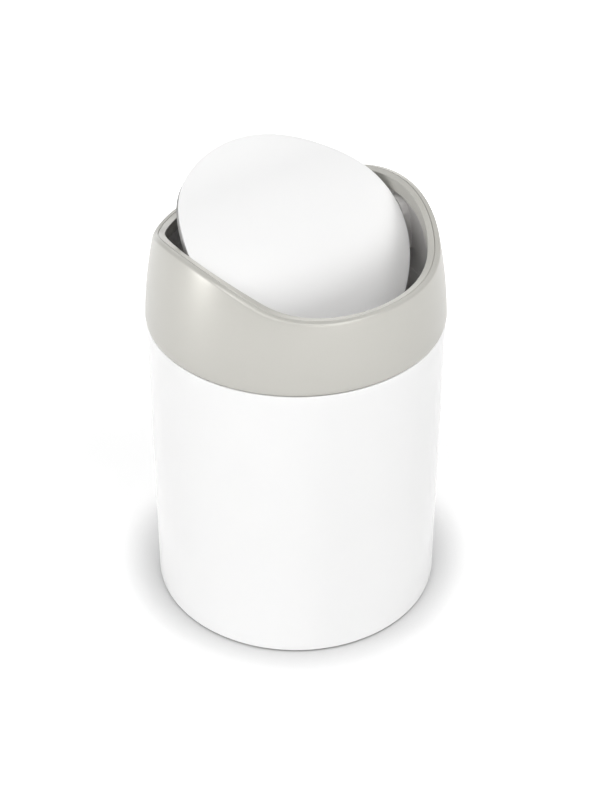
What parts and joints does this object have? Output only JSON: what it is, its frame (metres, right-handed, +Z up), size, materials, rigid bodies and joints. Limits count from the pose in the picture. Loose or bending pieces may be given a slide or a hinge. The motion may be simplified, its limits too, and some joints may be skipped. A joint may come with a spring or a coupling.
{
  "type": "countertop trash can",
  "caption": "Small round white steel countertop trash can with a pearl-grey saddle-rimmed collar and a bent white swing lid.",
  "frame": {"origin": "on the table at the can's axis", "axes": "+Z up; +X along the lid's pivot axis, towards the right pivot; -Y is the front, where the lid's edge dips at rest"},
  "size_m": [0.1226, 0.1226, 0.1935],
  "materials": {
    "white_steel": "gloss",
    "pearl_plastic": "satin pearl",
    "dark_plastic": "fine texture",
    "soft_grey": "matt",
    "bush_plastic": "smooth",
    "bare_steel": "zinc plated"
  },
  "bodies": {
    "can": {"can_wall": "white_steel", "can_floor": "white_steel", "base_cap": "dark_plastic", "grip_ring": "soft_grey"},
    "collar": {"collar_shell": "pearl_plastic", "rim_ring": "pearl_plastic", "inner_collar": "pearl_plastic", "skirt_gasket": "soft_grey", "pivot_bush_left": "bush_plastic", "pivot_bush_right": "bush_plastic"},
    "lid": {"lid_panel": "white_steel", "lid_tray": "dark_plastic", "pivot_pin_left": "bare_steel", "pivot_pin_right": "bare_steel", "counterweight": "bare_steel", "weight_screws": "bare_steel"}
  },
  "joints": [
    {"name": "collar_lift", "type": "slide", "parent": "can", "child": "collar", "axis": [0, 0, 1], "range_m": [0, 0.06]},
    {"name": "lid_swing", "type": "hinge", "parent": "collar", "child": "lid", "pos_m": [0, 0, 0.1624], "axis": [1, 0, 0], "range_deg": [-122, 34]}
  ]
}
